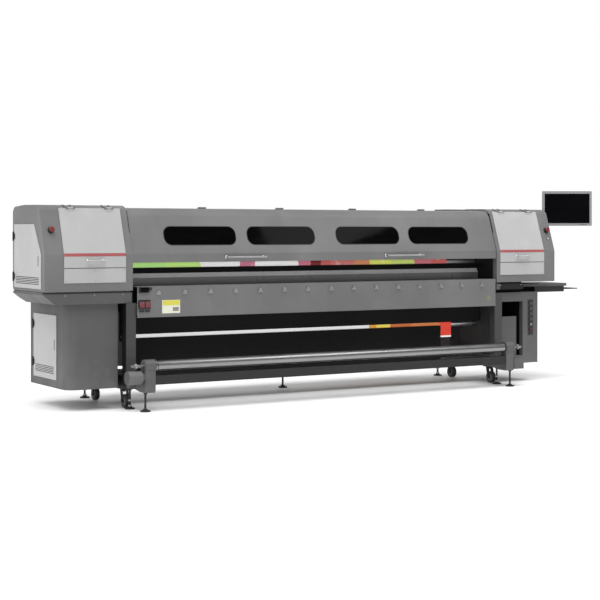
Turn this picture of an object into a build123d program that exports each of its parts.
# A roll-to-roll large-format printer for three-metre wide media.
# X runs along the machine to the operator's right, +Y to the rear, +Z up, in millimetres.
# Pieces are drawn about the middle of the print opening, then set on the machine's
# origin, the middle of its footprint on the floor, as they are written.
from build123d import *

import os
from math import asin, atan2, cos, hypot, sin, tan

# ---- the machine as a whole ----
ORIGIN_X = 216  # the footprint's middle, seen from the middle of the print opening
ORIGIN_Y = 380
OPENING = 1725  # half the width between the two end housings
LEFT_END = 2426  # outer wall of the left end housing
RIGHT_END = 2382
WALL = 4
SHEET = 3
GAP = 3

# ---- end housings ----
FLOOR = 882  # underside of the housings
BREAK = 1152  # where the upright front turns into the slope
SLOPE_TOP = (116, 1495)
ROOF_FRONT = (185, 1519)
ROOF_MIDDLE = (420, 1522)
ROOF_REAR = (612, 1511)
HOUSING_REAR = 645
SLOPE = atan2(SLOPE_TOP[0], SLOPE_TOP[1] - BREAK)
LEFT_PANEL = (-2271, -1783)
RIGHT_PANEL = (1760, 2253)
COVER_LOW = 1058
PLATE_HIGH = 1052
PLATE_LOW = 946
PANEL_SEAT = 1  # air between a cover and its housing
PANEL_THICK = 4
TRAY_HIGH = 870
TRAY_LOW = 790
LIP_LOW = 820  # underside of the right tray's front
RIGHT_TRAY_END = 2030

# ---- hood ----
HOOD_HALF = OPENING - GAP
HOOD_LOW = (8, 1090)
HOOD_BREAK = (8, 1156)
HOOD_SHOULDER = (108, 1452)
HOOD_CROWN = (150, 1498)
HOOD_BACK = (187, 1502)
WINDOW_LONG = 620
WINDOW_PITCH = 722
WINDOW_TALL = 150
WINDOW_CORNER = 62
HOOD_HANDLES = ((-940, -590), (557, 926))

# ---- frame ----
LEG_IN = 1700
LEG_OUT = 1780
LEG_DEEP = 70
REAR_LEG = 600
RAIL_LOW = 150
RAIL_HIGH = 250
RAIL_REAR = 930

# ---- media and rollers ----
MEDIA_LEFT = -1600
MEDIA_RIGHT = 1408
MEDIA_THICK = 1.5
PLATEN_FRONT = 305
PLATEN_REAR = 655
PLATEN_TOP = 1096
BEAM_TOP = 1030
FEED_AT = (480, 1066)
FEED_RADIUS = 30
GUIDE_AT = (266, 520)
GUIDE_RADIUS = 24
SUPPLY_AT = (890, 470)
SUPPLY_RADIUS = 110
TAKEUP_AT = (-190, 335)
TAKEUP_RADIUS = 38
RUN = 0.08  # running clearance on a radius

# ---- casters and feet ----
CASTERS = {
    "front_left": (-1740, 125),
    "front_right": (1740, 125),
    "rear_left": (-1740, 690),
    "rear_right": (1740, 690),
}
WHEEL_RADIUS = 50
WHEEL_WIDE = 36
WHEEL_LIFT = 4  # the machine stands on its feet, with the wheels just off the floor
TRAIL = -24  # the wheel trails towards the operator
PAD_RADIUS = 38

# ---- hinges ----
KNUCKLE = 6
PIN = 2.5
LEAF = 24
LEAF_THICK = 2
LEAF_LEAD = 1.5  # where a leaf starts, from the hinge axis
SLEEVE_LONG = 40


def block(x0, x1, y0, y1, z0, z1, mode=Mode.ADD):
    """A square block between two opposite corners."""
    with Locations(((x0 + x1) / 2, (y0 + y1) / 2, (z0 + z1) / 2)):
        Box(x1 - x0, y1 - y0, z1 - z0, mode=mode)


def reach(side, near, far):
    """The two X limits of a stretch on one side of the machine, lowest first."""
    return sorted((side * near, side * far))


def along_x(points, x0, x1, mode=Mode.ADD, radius=0):
    """A closed (Y, Z) outline drawn out from x0 to x1."""
    with BuildSketch(Plane.YZ.offset(x0)) as outline:
        with BuildLine():
            FilletPolyline(*points, radius=radius, close=True)
        make_face()
    extrude(outline.sketch, amount=x1 - x0, mode=mode)


def skin_x(points, radii, thick, x0, x1):
    """Sheet metal bent along an open (Y, Z) line, to the right of the way it runs."""
    with BuildSketch(Plane.YZ.offset(x0)) as outline:
        with BuildLine():
            FilletPolyline(*points, radius=radii)
            offset(amount=thick, side=Side.RIGHT)
        make_face()
    extrude(outline.sketch, amount=x1 - x0)


def rod_x(centre, radius, x0, x1, mode=Mode.ADD):
    """A round bar along X about a (Y, Z) centre."""
    with BuildSketch(Plane.YZ.offset(x0)) as section:
        with Locations(centre):
            Circle(radius)
    extrude(section.sketch, amount=x1 - x0, mode=mode)


def rod_on(plane, radius, low, high, mode=Mode.ADD):
    """A round bar along a plane's normal, from low to high above its origin."""
    with BuildSketch(plane.offset(low)) as section:
        Circle(radius)
    extrude(section.sketch, amount=high - low, mode=mode)


def hinge_half(base, low, high, toward, sink=0, lead=LEAF_LEAD):
    """A knuckle and its leaf about the base plane's normal, +Y pointing away from the surface."""
    with BuildSketch(base.offset(low)) as section:
        Circle(KNUCKLE)
        with Locations((toward * (LEAF + lead) / 2, (LEAF_THICK - sink) / 2 - KNUCKLE)):
            Rectangle(LEAF - lead, LEAF_THICK + sink)
    extrude(section.sketch, amount=high - low)


def hinge_sleeve(base, sink=0.5, lead=LEAF_LEAD):
    """The moving half of a hinge, with its bore."""
    hinge_half(base, -SLEEVE_LONG / 2, SLEEVE_LONG / 2, 1, sink, lead)
    rod_on(base, PIN + RUN, -SLEEVE_LONG / 2 - 1, SLEEVE_LONG / 2 + 1, Mode.SUBTRACT)


def hinge_pin(base, sink=0):
    """The fixed half of a hinge: two knuckles and the pin between them."""
    inner = SLEEVE_LONG / 2 + 0.4
    outer = inner + 14
    hinge_half(base, inner, outer, -1, sink)
    hinge_half(base, -outer, -inner, -1, sink)
    rod_on(base, PIN, -outer, outer)


def slope_point(distance, drop=0):
    """A (Y, Z) point proud of the housings' slope, drop below the slope's top."""
    y = SLOPE_TOP[0] - distance * cos(SLOPE) - drop * sin(SLOPE)
    return (y, SLOPE_TOP[1] + distance * sin(SLOPE) - drop * cos(SLOPE))


def front_strip(near, far, low, drop=0):
    """Outline of a sheet bent over the housings' front, between two distances from its face."""
    lift = tan(SLOPE / 2)
    inner = [(-near, low), (-near, BREAK + near * lift), slope_point(near, drop)]
    outer = [slope_point(far, drop), (-far, BREAK + far * lift), (-far, low)]
    return inner + outer


def hinge_on_slope(x):
    """Base plane of a cover hinge at the top of the slope."""
    y, z = slope_point(PANEL_SEAT + PANEL_THICK + KNUCKLE)
    return Plane(origin=(x, y, z), x_dir=(0, -sin(SLOPE), -cos(SLOPE)), z_dir=(-1, 0, 0))


def hinge_on_hood(x):
    """Base plane of a hood hinge on the roof seam."""
    origin = (x, HOOD_BACK[0] + GAP / 2, HOOD_BACK[1] + KNUCKLE)
    return Plane(origin=origin, x_dir=(0, -1, 0), z_dir=(-1, 0, 0))


def hinge_on_door(x, y, z):
    """Base plane of a side door's hinge, outside the left wall."""
    return Plane(origin=(x - KNUCKLE, y, z), x_dir=(0, -1, 0), z_dir=(0, 0, -1))


# ---- frame ----
def side_frame(side):
    """Welded end frame: legs, floor rail, top rail, roller hanger, supply bracket and caster kingpins."""
    with BuildPart() as frame:
        x0, x1 = reach(side, LEG_IN, LEG_OUT)
        block(x0, x1, -10, RAIL_REAR, RAIL_LOW, RAIL_HIGH)
        block(x0, x1, 0, LEG_DEEP, RAIL_HIGH, TRAY_LOW)
        block(x0, x1, REAR_LEG, REAR_LEG + LEG_DEEP, RAIL_HIGH, TRAY_LOW)
        block(x0, x1, LEG_DEEP, REAR_LEG, TRAY_LOW - LEG_DEEP, TRAY_LOW)
        hang0, hang1 = reach(side, LEG_IN - 12, LEG_IN)
        block(hang0, hang1, 226, 306, 486, TRAY_LOW)
        rod_x(GUIDE_AT, 10 + RUN, hang0, hang1, Mode.SUBTRACT)
        arm0, arm1 = reach(side, LEG_IN + 14, LEG_IN + 30)
        block(arm0, arm1, 850, 930, RAIL_HIGH, 520)
        rod_x(SUPPLY_AT, 20 + RUN, arm0, arm1, Mode.SUBTRACT)
        for name, (x, y) in CASTERS.items():
            if x * side > 0:
                pivot = Plane(origin=(x, y, 0))
                block(x - 38, x + 38, y - 45, y + 45, RAIL_LOW - 6, RAIL_LOW)
                rod_on(pivot, 7, 122, RAIL_LOW)
                rod_on(pivot, 11, 122, 128)
    return frame


def tube_x(half, y0, y1, z0, z1, wall):
    """Square tube along X, the same either side of the middle."""
    block(-half, half, y0, y1, z0, z1)
    block(-half, half, y0 + wall, y1 - wall, z0 + wall, z1 - wall, Mode.SUBTRACT)


def crossbeams():
    """Four tubes tying the end frames together and the deep beam that carries the platen."""
    with BuildPart() as beams:
        tube_x(LEG_IN, 226, 286, 170, 230, WALL)
        tube_x(LEG_IN, 700, 760, 170, 230, WALL)
        tube_x(LEG_IN, -13, 60, 700, 780, WALL)
        tube_x(LEG_IN, 600, 652, 700, 780, WALL)
        tube_x(OPENING, 330, 620, 900, BEAM_TOP, 8)
    return beams


def levelling_feet():
    """Screw feet: four under the end frames, one in the middle, two under the take-up."""
    spots = [(side * 1740, y, RAIL_LOW) for side in (-1, 1) for y in (22, 880)]
    spots += [(0, 731, 170), (-1712, TAKEUP_AT[0], 140), (1712, TAKEUP_AT[0], 140)]
    with BuildPart() as feet:
        for x, y, top in spots:
            base = Plane(origin=(x, y, 0))
            rod_on(base, PAD_RADIUS, 0, 10)
            rod_on(base, 18, 10, 20)
            rod_on(base, 8, 20, top)
            rod_on(base, 14, top - 12, top)
    return feet


def caster_fork(spot):
    """Swivelling fork with its wheel axle."""
    x, y = spot
    axle_z = WHEEL_RADIUS + WHEEL_LIFT
    pivot = Plane(origin=(x, y, 0))
    inner = WHEEL_WIDE / 2 + 2
    with BuildPart() as fork:
        rod_on(pivot, 30, 132, RAIL_LOW - 6.6)
        for side in (-1, 1):
            c0, c1 = sorted((x + side * inner, x + side * (inner + 6)))
            foot = y + TRAIL
            cheek = [(y - 20, 138), (y + 16, 138), (foot + 14, axle_z - 12), (foot - 14, axle_z - 12)]
            along_x(cheek, c0, c1)
        rod_x((y + TRAIL, axle_z), 6, x - inner - 8, x + inner + 8)
        rod_on(pivot, 7 + RUN, 120, RAIL_LOW, Mode.SUBTRACT)
        rod_on(pivot, 11.6, 120, 128.6, Mode.SUBTRACT)
    return fork


def caster_wheel(spot):
    """Rubber-tyred wheel on its bore."""
    x, y = spot
    axle = (y + TRAIL, WHEEL_RADIUS + WHEEL_LIFT)
    with BuildPart() as wheel:
        rod_x(axle, WHEEL_RADIUS, x - WHEEL_WIDE / 2, x + WHEEL_WIDE / 2)
        fillet(wheel.edges().filter_by(GeomType.CIRCLE), 6)
        rod_x(axle, 6 + RUN, x - WHEEL_WIDE, x + WHEEL_WIDE, Mode.SUBTRACT)
    return wheel


# ---- housings ----
def housing_outline():
    """Corners of a housing's side profile."""
    return [
        (0, FLOOR), (0, BREAK), SLOPE_TOP, ROOF_FRONT, ROOF_MIDDLE, ROOF_REAR,
        (HOUSING_REAR, 1478), (HOUSING_REAR, FLOOR),
    ]


HOUSING_RADII = [6, 30, 34, 60, 600, 30, 24, 24]


def housing(side, end, panel):
    """Hollow end housing, open behind its cover and, above the bed, towards the print opening."""
    x0, x1 = reach(side, OPENING, end)
    with BuildPart() as shell:
        along_x(housing_outline(), x0, x1, radius=HOUSING_RADII)
        outer = shell.faces().sort_by(Axis.X)[-1 if side > 0 else 0]
        fillet(outer.edges(), 10)
        with BuildSketch(Plane.YZ.offset(x0 + WALL)) as hollow:
            with BuildLine():
                FilletPolyline(*housing_outline(), radius=HOUSING_RADII, close=True)
            make_face()
            offset(amount=-WALL, mode=Mode.REPLACE)
        extrude(hollow.sketch, amount=x1 - x0 - 2 * WALL, mode=Mode.SUBTRACT)
        along_x(front_strip(-WALL - 4, 4, COVER_LOW + 24, 26), panel[0] + 18, panel[1] - 18, Mode.SUBTRACT)
        w0, w1 = reach(side, OPENING - 1, OPENING + WALL + 1)
        block(w0, w1, 150, 600, 1100, 1482, Mode.SUBTRACT)
        if side < 0:
            along_x(side_door_outline(20), -end - 1, -end + WALL + 1, Mode.SUBTRACT)
    return shell


def base_trays():
    """The trays under the housings with a set-back riser: the left bevelled, the right stepped in front."""
    upper = [(14, TRAY_HIGH), (636, TRAY_HIGH), (636, TRAY_LOW + 32), (604, TRAY_LOW)]
    deep = [(14, TRAY_LOW)] + upper
    stepped = [(14, LIP_LOW)] + upper + [(90, TRAY_LOW), (60, LIP_LOW)]
    with BuildPart() as trays:
        for side, end, outline in ((-1, LEFT_END, deep), (1, RIGHT_TRAY_END, stepped)):
            x0, x1 = reach(side, OPENING, end)
            along_x(outline, x0, x1)
            r0, r1 = reach(side, OPENING + 6, end - 1)
            block(r0, r1, 34, 620, TRAY_HIGH, FLOOR)
            h0, h1 = reach(side, OPENING + WALL, end - 120)
            block(h0, h1, 100, 480, TRAY_LOW + WALL, TRAY_HIGH - WALL, Mode.SUBTRACT)
        with BuildSketch(Plane.XZ.offset(-5)) as bevel:
            with BuildLine():
                far = -LEFT_END - 1
                foot = (-2332, TRAY_LOW)
                Polyline((far, TRAY_LOW - 1), (far, TRAY_HIGH - 8), foot, (-2332, TRAY_LOW - 1), close=True)
            make_face()
        extrude(bevel.sketch, amount=-700, mode=Mode.SUBTRACT)
    return trays


def housing_cover(panel):
    """Lift-up cover of a housing, its two hinge sleeves and its bar handle."""
    middle = (panel[0] + panel[1]) / 2
    with BuildPart() as cover:
        outline = front_strip(PANEL_SEAT, PANEL_SEAT + PANEL_THICK, COVER_LOW)
        along_x(outline, panel[0], panel[1])
        for x in (panel[0] + 90, panel[1] - 90):
            hinge_sleeve(hinge_on_slope(x), lead=-2)
        front = -PANEL_SEAT - PANEL_THICK
        for x in (middle - 60, middle + 60):
            rod_on(Plane(origin=(x, front, 1108), z_dir=(0, -1, 0)), 6, 0, 30)
        rod_x((front - 30, 1108), 8, middle - 72, middle + 72)
    return cover


def lower_plates():
    """Fixed plates below the covers."""
    with BuildPart() as plates:
        for panel in (LEFT_PANEL, RIGHT_PANEL):
            block(panel[0], panel[1], -PANEL_THICK, 0, PLATE_LOW, PLATE_HIGH)
    return plates


def side_door_outline(inset=0):
    """Corners of the upper side door in (Y, Z), drawn in by inset."""
    return [
        (46 + inset, 905 + inset), (46 + inset, 1155), (188 + inset * 0.8, 1378 - inset),
        (598 - inset, 1378 - inset), (598 - inset, 905 + inset),
    ]


def vent_rows(x, y0, y1, z0, rows):
    """Rows of level slots through a door."""
    for row in range(rows):
        block(x - 10, x + 10, y0, y1, z0 + row * 12, z0 + row * 12 + 5, Mode.SUBTRACT)


DOOR_OUT = LEFT_END + PANEL_SEAT + PANEL_THICK
CABINET_OUT = 2230
CABINET_IN = 1825
CABINET_DOOR_OUT = CABINET_OUT + PANEL_SEAT + PANEL_THICK


def upper_side_door():
    """Side door of the left housing, with its vent slots, latch slot and hinge sleeves."""
    with BuildPart() as door:
        along_x(side_door_outline(), -DOOR_OUT, -DOOR_OUT + PANEL_THICK)
        vent_rows(-DOOR_OUT, 84, 560, 936, 5)
        block(-DOOR_OUT - 1, -DOOR_OUT + 9, 94, 106, 1071, 1143, Mode.SUBTRACT)
        for z in (986, 1288):
            hinge_sleeve(hinge_on_door(-DOOR_OUT, 600, z))
    return door


def left_cabinet():
    """Ink cabinet under the left housing, its front corner well rounded."""
    with BuildPart() as cabinet:
        block(-CABINET_OUT, -CABINET_IN, 50, 780, 160, TRAY_LOW)
        corner = cabinet.edges().filter_by(Axis.Z).sort_by(Axis.Y)[:2].sort_by(Axis.X)[0]
        fillet(corner, 80)
        inner = (-CABINET_OUT + SHEET, -CABINET_IN - SHEET)
        block(*inner, 50 + 84, 780 - SHEET, 160 + SHEET, TRAY_LOW - SHEET, Mode.SUBTRACT)
        block(-CABINET_OUT - 1, -CABINET_OUT + 9, 264, 686, 240, 680, Mode.SUBTRACT)
        block(-CABINET_IN, -LEG_OUT - 4, 300, 300 + SHEET, 160, TRAY_LOW)
    return cabinet


def left_cabinet_door():
    """Side door of the ink cabinet."""
    with BuildPart() as door:
        block(-CABINET_DOOR_OUT, -CABINET_DOOR_OUT + PANEL_THICK, 244, 706, 220, 700)
        vent_rows(-CABINET_DOOR_OUT, 290, 670, 262, 5)
        block(-CABINET_DOOR_OUT - 1, -CABINET_DOOR_OUT + 9, 276, 286, 440, 520, Mode.SUBTRACT)
        for z in (330, 620):
            hinge_sleeve(hinge_on_door(-CABINET_DOOR_OUT, 708, z))
    return door


def hinge_pins():
    """Fixed halves of every hinge: doors, housing covers and hood."""
    sink = PANEL_SEAT + PANEL_THICK
    with BuildPart() as pins:
        for z in (986, 1288):
            hinge_pin(hinge_on_door(-DOOR_OUT, 600, z), sink)
        for z in (330, 620):
            hinge_pin(hinge_on_door(-CABINET_DOOR_OUT, 708, z), sink)
        for panel in (LEFT_PANEL, RIGHT_PANEL):
            for x in (panel[0] + 90, panel[1] - 90):
                cover_hinge_pin(x)
        for x in HOOD_HINGES:
            hinge_pin(hinge_on_hood(x))
    return pins


def cover_hinge_pin(x):
    """Fixed half of a cover hinge, its foot standing on the housing's roof edge."""
    base = hinge_on_slope(x)
    inner = SLEEVE_LONG / 2 + 0.4
    outer = inner + 14
    y, z = slope_point(PANEL_SEAT + PANEL_THICK + KNUCKLE)
    foot_y, foot_z = ROOF_FRONT
    for x0, x1 in ((x - outer, x - inner), (x + inner, x + outer)):
        rod_x((y, z), KNUCKLE, x0, x1)
        along_x([(y + 1, z + 5), (foot_y, foot_z + 3.4), (foot_y, foot_z + 0.4), (y + 2, z - 2)], x0, x1)
    rod_on(base, PIN, -outer, outer)


HOOD_HINGES = (-1050, -350, 350, 1050)


# ---- hood and rear covers ----
def hood_window_planes():
    """Planes at the middle of each window, facing out of the hood's slope."""
    run = HOOD_SHOULDER[0] - HOOD_BREAK[0]
    rise = HOOD_SHOULDER[1] - HOOD_BREAK[1]
    lean = atan2(run, rise)
    z = 1291
    y = HOOD_BREAK[0] + (z - HOOD_BREAK[1]) * run / rise
    return [
        Plane(origin=(x * WINDOW_PITCH, y, z), x_dir=(1, 0, 0), z_dir=(0, -cos(lean), sin(lean)))
        for x in (-1.572, -0.572, 0.572, 1.572)
    ]


def hood_shell():
    """The long front hood: bent skin, end flanges, window openings and hinge sleeves."""
    points = (HOOD_LOW, HOOD_BREAK, HOOD_SHOULDER, HOOD_CROWN, HOOD_BACK)
    radii = (20, 60, 30)
    with BuildPart() as hood:
        skin_x(points, radii, SHEET, -HOOD_HALF, HOOD_HALF)
        for x in (-HOOD_HALF, HOOD_HALF - SHEET):
            skin_x(points, radii, 22, x, x + SHEET)
        for plane in hood_window_planes():
            with BuildSketch(plane.offset(5)) as opening:
                RectangleRounded(WINDOW_LONG, WINDOW_TALL, WINDOW_CORNER)
            extrude(opening.sketch, amount=-16, mode=Mode.SUBTRACT)
        for x in HOOD_HINGES:
            hinge_sleeve(hinge_on_hood(x), SHEET)
    return hood


def hood_windows():
    """Four dark panes, flush in the hood."""
    with BuildPart() as windows:
        for plane in hood_window_planes():
            with BuildSketch(plane.offset(-0.6)) as pane:
                RectangleRounded(WINDOW_LONG - 0.6, WINDOW_TALL - 0.6, WINDOW_CORNER - 0.3)
            extrude(pane.sketch, amount=-SHEET)
    return windows


def hood_handles():
    """Two bar handles on posts."""
    with BuildPart() as handles:
        for x0, x1 in HOOD_HANDLES:
            for x in (x0 + 12, x1 - 12):
                rod_on(Plane(origin=(x, HOOD_LOW[0], 1125), z_dir=(0, -1, 0)), 7, 0, 34)
            rod_x((HOOD_LOW[0] - 34, 1125), 9, x0, x1)
    return handles


def rear_covers():
    """Roof and back cover behind the hood, and the lower back panel."""
    roof = ((HOOD_BACK[0] + GAP, HOOD_BACK[1]), (440, HOOD_BACK[1]), (600, 1499), (640, 1466), (640, 1130))
    with BuildPart() as covers:
        skin_x(roof, (500, 60, 30), SHEET, -HOOD_HALF, HOOD_HALF)
        block(1350, 1712, 230, 400, HOOD_BACK[1], 1515)
        block(-LEG_IN + 4, LEG_IN - 4, 655, 659, 260, 890)
    return covers


# ---- bed, rollers and media ----
def platen():
    """Front and rear bed plates with rounded edges, and the feed roller's bearing blocks."""
    with BuildPart() as bed:
        front = [(PLATEN_FRONT, BEAM_TOP), (PLATEN_FRONT, PLATEN_TOP), (444, PLATEN_TOP), (444, BEAM_TOP)]
        along_x(front, -OPENING + 5, OPENING - 5, radius=[0, 30, 0, 0])
        rear = [(516, BEAM_TOP), (516, PLATEN_TOP), (PLATEN_REAR, PLATEN_TOP), (PLATEN_REAR, BEAM_TOP)]
        along_x(rear, -OPENING + 5, OPENING - 5, radius=[0, 0, 20, 0])
        for side in (-1, 1):
            x0, x1 = reach(side, 1660, 1720)
            block(x0, x1, 450, 510, BEAM_TOP, PLATEN_TOP)
            rod_x(FEED_AT, 12 + RUN, x0, x1, Mode.SUBTRACT)
    return bed


def roller(centre, radius, left, right, stub, stub_end):
    """A roller with a turned stub at each end."""
    with BuildPart() as shaft:
        rod_x(centre, radius, left, right)
        rod_x(centre, stub, -stub_end, left)
        rod_x(centre, stub, right, stub_end)
    return shaft


PINCH_AT = (480, PLATEN_TOP + 0.4 + MEDIA_THICK + 0.4 + 12)
PINCH_PITCH = 400


def pinch_rollers():
    """Rollers on one shaft that press the media on the feed roller."""
    with BuildPart() as rollers:
        rod_x(PINCH_AT, 5, -1620, 1620)
        for index in range(-3, 5):
            middle = (index - 0.5) * PINCH_PITCH
            rod_x(PINCH_AT, 12, middle - 170, middle + 170)
    return rollers


def gantry_beam():
    """Carriage beam through both housings, its posts, two linear rails and the pinch roller brackets."""
    with BuildPart() as gantry:
        block(-2330, 2290, 440, 560, 1180, 1340)
        block(-2322, 2282, 448, 552, 1188, 1332, Mode.SUBTRACT)
        block(-2330, -2280, 440, 560, FLOOR + WALL, 1180)
        block(2240, 2290, 440, 560, FLOOR + WALL, 1180)
        for z in (1220, 1300):
            block(-2290, 2250, 426, 440, z - 8, z + 8)
        for index in range(-4, 5):
            x = index * PINCH_PITCH
            block(x - 5, x + 5, 466, 494, PINCH_AT[1] - 8, 1180)
            rod_x(PINCH_AT, 5 + RUN, x - 6, x + 6, Mode.SUBTRACT)
    return gantry


CARRIAGE = (1800, 2216)


def carriage():
    """Print carriage with its bearing blocks and eight print heads."""
    x0, x1 = CARRIAGE
    with BuildPart() as body:
        block(x0, x1, 210, 418, 1112, 1352)
        fillet(body.edges().filter_by(Axis.X).sort_by(Axis.Y)[:2], 16)
        for z in (1220, 1300):
            for x in (x0 + 60, x1 - 60):
                block(x - 45, x + 45, 418, 437, z - 22, z + 22)
            block(x0, x1, 425.4, 438, z - 8.6, z + 8.6, Mode.SUBTRACT)
        for row in (250, 320):
            for column in range(4):
                x = x0 + 70 + column * 92
                block(x - 32, x + 32, row - 22, row + 22, 1103, 1112)
    return body


def capping_station():
    """Maintenance station that the carriage parks over."""
    with BuildPart() as station:
        block(1840, 2180, 230, 400, FLOOR + WALL, 1060)
        for row in (250, 320):
            for column in range(4):
                x = 1870 + column * 92
                block(x - 36, x + 36, row - 26, row + 26, 1060, 1096)
    return station


def media_line():
    """(Y, Z) corners of the media's underside, from the supply roll to its hanging edge."""
    corner_y = PLATEN_REAR + 3
    corner_z = PLATEN_TOP + 0.4
    away = hypot(SUPPLY_AT[0] - corner_y, SUPPLY_AT[1] - corner_z)
    radius = SUPPLY_RADIUS + 0.6 + MEDIA_THICK
    heading = atan2(SUPPLY_AT[1] - corner_z, SUPPLY_AT[0] - corner_y) - asin(radius / away)
    length = (away * away - radius * radius) ** 0.5
    start = (corner_y + length * cos(heading), corner_z + length * sin(heading))
    guide = GUIDE_AT[0] - GUIDE_RADIUS - 0.5
    front = PLATEN_FRONT - 0.6
    return [start, (corner_y, corner_z), (front, corner_z), (front, 900), (guide, 580), (guide, 408)]


def media_web():
    """The media itself, over the bed, behind the front bar and down past the guide roller."""
    with BuildPart() as web:
        skin_x(media_line(), (24, 31, 60, 60), MEDIA_THICK, MEDIA_LEFT, MEDIA_RIGHT)
    return web


def supply_roll():
    """Roll of media on its core, and the shaft that carries it."""
    with BuildPart() as roll:
        rod_x(SUPPLY_AT, SUPPLY_RADIUS, MEDIA_LEFT, MEDIA_RIGHT)
        rod_x(SUPPLY_AT, 44, MEDIA_LEFT - 12, MEDIA_LEFT)
        rod_x(SUPPLY_AT, 44, MEDIA_RIGHT, MEDIA_RIGHT + 12)
    return roll


def supply_shaft():
    """Mandrel ends of the supply roll."""
    with BuildPart() as shaft:
        flanges = ((MEDIA_LEFT - 40, MEDIA_LEFT - 12, -1760), (MEDIA_RIGHT + 12, MEDIA_RIGHT + 40, 1760))
        for x0, x1, end in flanges:
            rod_x(SUPPLY_AT, 56, x0, x1)
            rod_x(SUPPLY_AT, 20, min(x0, end), max(x1, end))
    return shaft


# ---- front ----
BAR_REAR = 290


def front_bar():
    """Light bar in front of the bed, its upper edge sloped back."""
    with BuildPart() as bar:
        outline = [(262, 912), (262, 966), (284, 1001), (BAR_REAR, 1001), (BAR_REAR, 912)]
        along_x(outline, -OPENING + 3, OPENING - 3, radius=[0, 10, 3, 0, 0])
    return bar


def front_panel():
    """Bent front panel with its ledge."""
    with BuildPart() as panel:
        outside = [(-16, 680), (-16, 912), (292, 912)]
        inside = [(292, 909), (-13, 909), (-13, 683), (0, 683), (0, 680)]
        along_x(outside + inside, -LEG_IN + 4, LEG_IN - 4)
    return panel


CATCH_PITCH = 219
CATCHES = 15


def panel_catches():
    """Quarter-turn catches along the front panel."""
    with BuildPart() as catches:
        for index in range(CATCHES):
            x = 10 + (index - (CATCHES - 1) / 2) * CATCH_PITCH
            face = Plane(origin=(x, -16, 864), z_dir=(0, -1, 0))
            rod_on(face, 17, 0, 4)
            rod_on(face, 11, 4, 10)
            with BuildSketch(face.offset(10)) as wing:
                SlotOverall(36, 9, rotation=40)
            extrude(wing.sketch, amount=9)
    return catches


def under_panel():
    """Dark cover set back under the front panel."""
    with BuildPart() as panel:
        block(-LEG_IN + 14, LEG_IN - 14, 180, 184, 542, 909)
    return panel


def dryer_shield():
    """Black sheet in front of the hanging media, and the black lip behind the front bar."""
    with BuildPart() as shield:
        block(-1640, 1284, 222, 226, 200, 512)
        block(-OPENING + 5, OPENING - 5, BAR_REAR, BAR_REAR + 7, 985, 1045)
    return shield


BRACKET_IN = 1645
BRACKET_OUT = 1728


def takeup_stand():
    """Take-up beam, its two bearing brackets and the winding motor."""
    y, z = TAKEUP_AT
    with BuildPart() as stand:
        block(-BRACKET_IN, BRACKET_IN, y - 30, y + 30, 196, 264)
        upper = [(y - 36, 156), (y - 36, z), (y + 40, z), (y + 40, 250)]
        lower = [(-10, 250), (-10, 160), (y + 60, 140), (y - 30, 140)]
        for side in (-1, 1):
            x0, x1 = reach(side, BRACKET_IN, BRACKET_OUT)
            along_x(upper + lower, x0, x1)
            rod_x((y, z), 48, x0, x1)
            rod_x((y, z), 12.5 + RUN, x0 - 1, x1 + 1, Mode.SUBTRACT)
            f0, f1 = reach(side, BRACKET_OUT, LEG_OUT)
            block(f0, f1, -60, -10, 165, 245)
        block(BRACKET_OUT, 1829, y - 44, y + 44, 150, 245)
        rod_x((y, 252), 50, -1860, -1750)
        rod_x((y, 252), 34, -1750, -BRACKET_OUT)
    return stand


def takeup_shaft():
    """Winding shaft with its gear disc."""
    with BuildPart() as shaft:
        rod_x(TAKEUP_AT, TAKEUP_RADIUS, -1622, 1632)
        rod_x(TAKEUP_AT, 12.5, -1830, -1622)
        rod_x(TAKEUP_AT, 12.5, 1632, 1830)
        rod_x(TAKEUP_AT, 44, -1640, -1630)
    return shaft


# ---- controls ----
def control_box():
    """Display housing, key block and switch frame at the left of the front panel."""
    with BuildPart() as box:
        block(-1684, -1606, -34, -16, 866, 908)
        block(-1598, -1580, -28, -16, 884, 904)
        block(-1690, -1588, -20, -16, 744, 812)
        block(-1682, -1644, -24, -16, 722, 738)
        block(-1634, -1596, -24, -16, 722, 738)
    return box


ROCKER_Z = 778


def rocker(x):
    """Rocker cap, standing clear of its frame so that it can tip."""
    with BuildPart() as cap:
        low, high = ROCKER_Z - 22, ROCKER_Z + 22
        along_x([(-26, low), (-26, high), (-33, high), (-30, ROCKER_Z), (-33, low)], x - 20, x + 20)
    return cap


def right_cabinet():
    """Service cabinet under the right housing, with an open recess and a column for the buttons."""
    with BuildPart() as cabinet:
        block(1800, 2230, 50, 700, 165, TRAY_LOW)
        corner = cabinet.edges().filter_by(Axis.Z).sort_by(Axis.Y)[:2].sort_by(Axis.X)[-1]
        fillet(corner, 12)
        block(1812, 2053, 40, 620, 232, 709, Mode.SUBTRACT)
        block(1812, 2014, 90, 94, 232, 577)
        column = (2053 + WALL, 2230 - WALL, 50 + WALL, 700 - WALL)
        block(*column, 165 + WALL, TRAY_LOW - WALL, Mode.SUBTRACT)
    return cabinet


BUTTON_X = 2140
BUTTON_HEIGHTS = (688, 642, 596, 550)
STOP_HEIGHT = 458
LAMP_HEIGHT = 504
ESTOPS = {"left": -2350, "right": 2326}


def button_face(z):
    """Plane on the column's front at a button's middle, facing the operator."""
    return Plane(origin=(BUTTON_X, 50, z), z_dir=(0, -1, 0))


def estop_face(x):
    """Plane on the housing's slope at an emergency stop."""
    y, z = slope_point(0, 172)
    return Plane(origin=(x, y, z), z_dir=(0, -cos(SLOPE), sin(SLOPE)))


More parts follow.
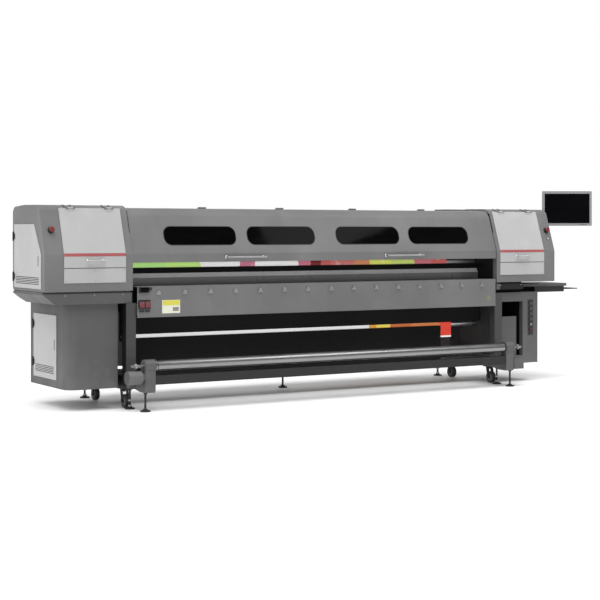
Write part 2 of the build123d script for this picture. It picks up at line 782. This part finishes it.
def switch_bases():
    """Button plate with its lamp, and the collars of the emergency stops."""
    with BuildPart() as bases:
        block(BUTTON_X - 28, BUTTON_X + 28, 46, 50, 412, 720)
        for z in BUTTON_HEIGHTS + (STOP_HEIGHT,):
            rod_on(button_face(z), 13.4, 0, 4, Mode.SUBTRACT)
        rod_on(button_face(LAMP_HEIGHT), 13, 4, 10)
        for x in ESTOPS.values():
            rod_on(estop_face(x), 24, 0, 14)
            rod_on(estop_face(x), 9, 0, 14, Mode.SUBTRACT)
        lamp_y, lamp_z = slope_point(0, 250)
        indicator = Plane(origin=(ESTOPS["right"], lamp_y, lamp_z), z_dir=(0, -cos(SLOPE), sin(SLOPE)))
        rod_on(indicator, 9, 0, 5)
    return bases


def push_button(z):
    """Push-button cap with a dished rim."""
    with BuildPart() as button:
        rod_on(button_face(z), 12.6, 3.6, 13)
        fillet(button.edges().sort_by(Axis.Y)[0], 1.5)
    return button


def estop_button(x):
    """Mushroom head on its stem."""
    face = estop_face(x)
    with BuildPart() as button:
        rod_on(face, 8, 6, 20)
        rod_on(face, 20, 20, 34)
        fillet(button.edges().sort_by(Axis(face.origin, face.z_dir))[-1], 5)
    return button


SHELF_START = 2248  # where the box frame starts, beside the cabinet
SHELF_LOW = 833
TRAY_UNDER = 802  # underside of the sliding tray


def keyboard_shelf():
    """Shelf at the right end, on a box frame that hides the sliding tray."""
    with BuildPart() as shelf:
        block(RIGHT_TRAY_END, 2613, 110, 480, SHELF_LOW, SHELF_LOW + 25)
        block(SHELF_START, 2590, 118, 134, 782, SHELF_LOW)
        block(SHELF_START, 2590, 456, 472, 782, SHELF_LOW)
        block(SHELF_START, SHELF_START + 14, 134, 456, 782, SHELF_LOW)
        for y in (134, 444):
            block(SHELF_START + 14, 2590, y, y + 12, 792, TRAY_UNDER - 0.4)
    return shelf


def mouse_tray():
    """Thin tray that slides out from under the shelf."""
    with BuildPart() as tray:
        block(2400, 2766, 136, 454, TRAY_UNDER, TRAY_UNDER + 8)
    return tray


# ---- monitor ----
TURN = 0.544  # the monitor's turn about the upright, in radians
MONITOR_X = 2681
MONITOR_Y = 177
MONITOR_Z = 1533
ARM_X = 2440
ARM_Y = 400
ARM_Z = 1440


def monitor_plane():
    """Plane of the screen, facing the operator."""
    centre = (MONITOR_X, MONITOR_Y, MONITOR_Z)
    return Plane(origin=centre, x_dir=(cos(TURN), -sin(TURN), 0), z_dir=(-sin(TURN), -cos(TURN), 0))


def right_housing():
    """Right end housing with the upright that carries the monitor arm."""
    shell = housing(1, RIGHT_END, RIGHT_PANEL)
    with BuildPart() as whole:
        add(shell.part)
        block(RIGHT_END, ARM_X + 14, ARM_Y - 30, ARM_Y + 30, 1280, 1300)
        block(RIGHT_END, RIGHT_END + 8, ARM_Y - 50, ARM_Y + 50, 1240, 1400)
        rod_on(Plane(origin=(ARM_X, ARM_Y, 0)), 14, 1300, ARM_Z - 30)
        rod_on(Plane(origin=(ARM_X, ARM_Y, 0)), 8, ARM_Z - 30, ARM_Z + 30)
    return whole


def monitor_arm():
    """Swivelling arm from the upright to the back of the monitor."""
    back_x = MONITOR_X + sin(TURN) * 74
    back_y = MONITOR_Y + cos(TURN) * 74
    along = atan2(back_y - ARM_Y, back_x - ARM_X)
    length = hypot(back_x - ARM_X, back_y - ARM_Y)
    flat = Plane(origin=(ARM_X, ARM_Y, ARM_Z - 20), x_dir=(cos(along), sin(along), 0), z_dir=(0, 0, 1))
    with BuildPart() as arm:
        rod_on(Plane(origin=(ARM_X, ARM_Y, 0)), 22, ARM_Z - 29.6, ARM_Z + 20)
        with BuildSketch(flat) as bar:
            with Locations((length / 2, 0)):
                SlotOverall(length + 30, 30)
        extrude(bar.sketch, amount=24)
        rod_on(Plane(origin=(ARM_X, ARM_Y, 0)), 8 + RUN, ARM_Z - 40, ARM_Z + 40, Mode.SUBTRACT)
        rod_on(Plane(origin=(back_x, back_y, 0)), 14, ARM_Z, MONITOR_Z + 15)
        hinge = tilt_plane()
        rod_on(hinge, 12, -30, 30)
        rod_on(hinge, 5, -44, 44)
    return arm


def tilt_plane():
    """Plane across the tilt joint, its normal along the tilt axis."""
    back_x = MONITOR_X + sin(TURN) * 74
    back_y = MONITOR_Y + cos(TURN) * 74
    return Plane(origin=(back_x, back_y, MONITOR_Z), z_dir=(cos(TURN), -sin(TURN), 0))


def monitor():
    """Flat monitor with a thin bezel, a back box and the two lugs of its tilt joint."""
    face = monitor_plane()
    hinge = tilt_plane()
    with BuildPart() as display:
        with BuildSketch(face.offset(-30)) as body:
            RectangleRounded(450, 316, 8)
        extrude(body.sketch, amount=30)
        with BuildSketch(face) as screen:
            Rectangle(410, 270)
        extrude(screen.sketch, amount=-2, mode=Mode.SUBTRACT)
        with BuildSketch(face.offset(-46)) as back:
            RectangleRounded(240, 180, 12)
        extrude(back.sketch, amount=16)
        for low, high in ((-42, -30.5), (30.5, 42)):
            with BuildSketch(hinge.offset(low)) as lug:
                Circle(13)
            extrude(lug.sketch, amount=high - low)
            foot = face.offset(-70).origin + hinge.z_dir * ((low + high) / 2)
            with BuildSketch(Plane(origin=foot, x_dir=hinge.z_dir, z_dir=face.z_dir)) as web:
                Rectangle(high - low, 20)
            extrude(web.sketch, amount=24)
        rod_on(hinge, 5 + RUN, -50, 50, Mode.SUBTRACT)
    return display


def ink_tanks():
    """Six ink tanks in a row."""
    with BuildPart() as tanks:
        for index in range(6):
            x = -2190 + index * 52
            block(x, x + 44, 330, 640, 170, 470)
            rod_on(Plane(origin=(x + 22, 400, 0)), 15, 470, 486)
    return tanks


PIECES = {
    "left_side_frame": side_frame(-1),
    "right_side_frame": side_frame(1),
    "crossbeams": crossbeams(),
    "levelling_feet": levelling_feet(),
    "base_trays": base_trays(),
    "left_cabinet": left_cabinet(),
    "left_cabinet_door": left_cabinet_door(),
    "right_cabinet": right_cabinet(),
    "switch_bases": switch_bases(),
    "left_housing": housing(-1, LEFT_END, LEFT_PANEL),
    "right_housing": right_housing(),
    "left_housing_cover": housing_cover(LEFT_PANEL),
    "right_housing_cover": housing_cover(RIGHT_PANEL),
    "lower_plates": lower_plates(),
    "upper_side_door": upper_side_door(),
    "hinge_pins": hinge_pins(),
    "hood_shell": hood_shell(),
    "hood_windows": hood_windows(),
    "hood_handles": hood_handles(),
    "rear_covers": rear_covers(),
    "platen": platen(),
    "feed_roller": roller(FEED_AT, FEED_RADIUS, -1640, 1640, 12, 1724),
    "pinch_rollers": pinch_rollers(),
    "gantry_beam": gantry_beam(),
    "carriage": carriage(),
    "capping_station": capping_station(),
    "ink_tanks": ink_tanks(),
    "front_bar": front_bar(),
    "front_panel": front_panel(),
    "panel_catches": panel_catches(),
    "under_panel": under_panel(),
    "dryer_shield": dryer_shield(),
    "media_web": media_web(),
    "guide_roller": roller(GUIDE_AT, GUIDE_RADIUS, -1640, 1640, 10, 1700),
    "supply_roll": supply_roll(),
    "supply_shaft": supply_shaft(),
    "takeup_stand": takeup_stand(),
    "takeup_shaft": takeup_shaft(),
    "control_box": control_box(),
    "left_rocker": rocker(-1663),
    "right_rocker": rocker(-1615),
    "stop_button": push_button(STOP_HEIGHT),
    "keyboard_shelf": keyboard_shelf(),
    "mouse_tray": mouse_tray(),
    "monitor_arm": monitor_arm(),
    "monitor": monitor(),
}
for number, height in enumerate(BUTTON_HEIGHTS, start=1):
    PIECES[f"grey_button_{number}"] = push_button(height)
for hand, place in ESTOPS.items():
    PIECES[f"{hand}_emergency_stop"] = estop_button(place)
for corner_name, corner_spot in CASTERS.items():
    PIECES[f"{corner_name}_caster_fork"] = caster_fork(corner_spot)
    PIECES[f"{corner_name}_caster_wheel"] = caster_wheel(corner_spot)

os.makedirs("parts", exist_ok=True)
for title, piece in PIECES.items():
    piece.part.move(Location((-ORIGIN_X, -ORIGIN_Y, 0)))
    piece.part.label = title
    export_step(piece.part, f"parts/{title}.step")
